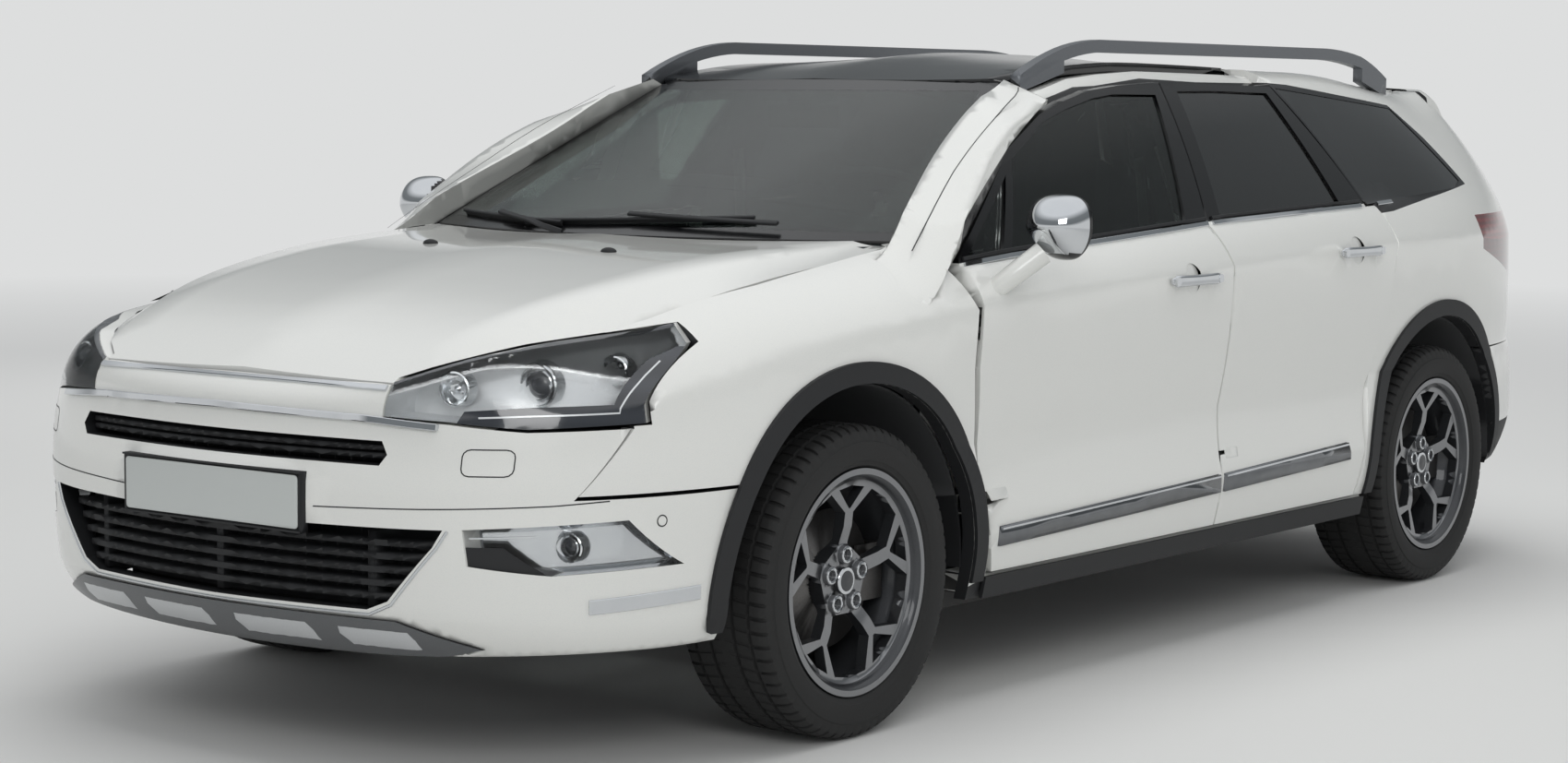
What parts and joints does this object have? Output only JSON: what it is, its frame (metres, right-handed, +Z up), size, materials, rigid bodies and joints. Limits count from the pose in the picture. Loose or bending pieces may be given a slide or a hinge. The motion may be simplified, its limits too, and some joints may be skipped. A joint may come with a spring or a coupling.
{
  "type": "station wagon",
  "caption": "Five-door station wagon with a white body, black window frames and roof glass, roof rails, opening doors, bonnet and tailgate, and steered front wheels.",
  "frame": {"origin": "on the ground, midway between the bumpers' ends and between the sides", "axes": "+Z up, the nose faces -Y, +X is the car's left"},
  "size_m": [2.1806, 4.8299, 1.5239],
  "materials": {
    "paint": "gloss",
    "black_gloss": "gloss",
    "trim": "matte",
    "dark_metal": "satin",
    "alloy": "satin",
    "silver": "satin",
    "chrome": "polished",
    "tyre": "matte",
    "glass": "polished",
    "dark_glass": "polished",
    "lamp": "polished",
    "red_lamp": "polished",
    "cloth": "woven"
  },
  "bodies": {
    "car_body": {"side_frames": "paint", "roof_sides": "paint", "rear_quarters": "paint", "floor_pan": "dark_metal", "wheel_liners": "trim", "front_wings": "paint", "roof_panel": "black_gloss", "roof_rails": "silver", "front_bumper": "paint", "rear_bumper": "paint", "grille": "chrome", "front_lamps": "lamp", "cladding": "trim", "fixed_glass": "glass", "tail_lamps": "red_lamp", "cowl": "trim", "engine_block": "dark_metal", "front_subframe": "dark_metal", "rear_axle": "dark_metal", "exhaust": "dark_metal", "dashboard": "trim", "seats": "cloth"},
    "bonnet": {"bonnet": "paint"},
    "tailgate": {"tailgate": "paint", "tailgate_glass": "dark_glass"},
    "door_front_left": {"door_front_left": "paint", "door_glass_front_left": "glass", "mirror_left": "chrome"},
    "door_rear_left": {"door_rear_left": "paint", "door_glass_rear_left": "dark_glass"},
    "knuckle_left": {"knuckle_left": "dark_metal"},
    "wheel_front_left": {"tyre_front_left": "tyre", "rim_front_left": "alloy"},
    "wheel_rear_left": {"tyre_rear_left": "tyre", "rim_rear_left": "alloy"},
    "door_front_right": {"door_front_right": "paint", "door_glass_front_right": "glass", "mirror_right": "chrome"},
    "door_rear_right": {"door_rear_right": "paint", "door_glass_rear_right": "dark_glass"},
    "knuckle_right": {"knuckle_right": "dark_metal"},
    "wheel_front_right": {"tyre_front_right": "tyre", "rim_front_right": "alloy"},
    "wheel_rear_right": {"tyre_rear_right": "tyre", "rim_rear_right": "alloy"}
  },
  "joints": [
    {"name": "bonnet_hinge", "type": "hinge", "parent": "car_body", "child": "bonnet", "pos_m": [0, -1.0765, 1.022], "axis": [-1, 0, 0], "range_deg": [0, 44]},
    {"name": "tailgate_hinge", "type": "hinge", "parent": "car_body", "child": "tailgate", "pos_m": [0, 1.9085, 1.406], "axis": [1, 0, 0], "range_deg": [0, 75]},
    {"name": "door_front_left_hinge", "type": "hinge", "parent": "car_body", "child": "door_front_left", "pos_m": [0.904, -0.8645, 0.661], "axis": [0, 0, -1], "range_deg": [0, 64]},
    {"name": "door_rear_left_hinge", "type": "hinge", "parent": "car_body", "child": "door_rear_left", "pos_m": [0.904, 0.213, 0.661], "axis": [0, 0, -1], "range_deg": [0, 68]},
    {"name": "steering_left", "type": "hinge", "parent": "car_body", "child": "knuckle_left", "pos_m": [0.72, -1.3945, 0.339], "axis": [0, 0, 1], "range_deg": [-35, 35]},
    {"name": "wheel_front_left_spin", "type": "hinge", "parent": "knuckle_left", "child": "wheel_front_left", "pos_m": [0.793, -1.3945, 0.339], "axis": [1, 0, 0], "continuous": true},
    {"name": "wheel_rear_left_spin", "type": "hinge", "parent": "car_body", "child": "wheel_rear_left", "pos_m": [0.78, 1.4205, 0.339], "axis": [1, 0, 0], "continuous": true},
    {"name": "door_front_right_hinge", "type": "hinge", "parent": "car_body", "child": "door_front_right", "pos_m": [-0.904, -0.8645, 0.661], "axis": [0, 0, 1], "range_deg": [0, 64]},
    {"name": "door_rear_right_hinge", "type": "hinge", "parent": "car_body", "child": "door_rear_right", "pos_m": [-0.904, 0.213, 0.661], "axis": [0, 0, 1], "range_deg": [0, 68]},
    {"name": "steering_right", "type": "hinge", "parent": "car_body", "child": "knuckle_right", "pos_m": [-0.72, -1.3945, 0.339], "axis": [0, 0, 1], "range_deg": [-35, 35]},
    {"name": "wheel_front_right_spin", "type": "hinge", "parent": "knuckle_right", "child": "wheel_front_right", "pos_m": [-0.793, -1.3945, 0.339], "axis": [1, 0, 0], "continuous": true},
    {"name": "wheel_rear_right_spin", "type": "hinge", "parent": "car_body", "child": "wheel_rear_right", "pos_m": [-0.78, 1.4205, 0.339], "axis": [1, 0, 0], "continuous": true}
  ],
  "couplings": [
    {"joint": "steering_right", "follows": "steering_left", "ratio": 1}
  ]
}
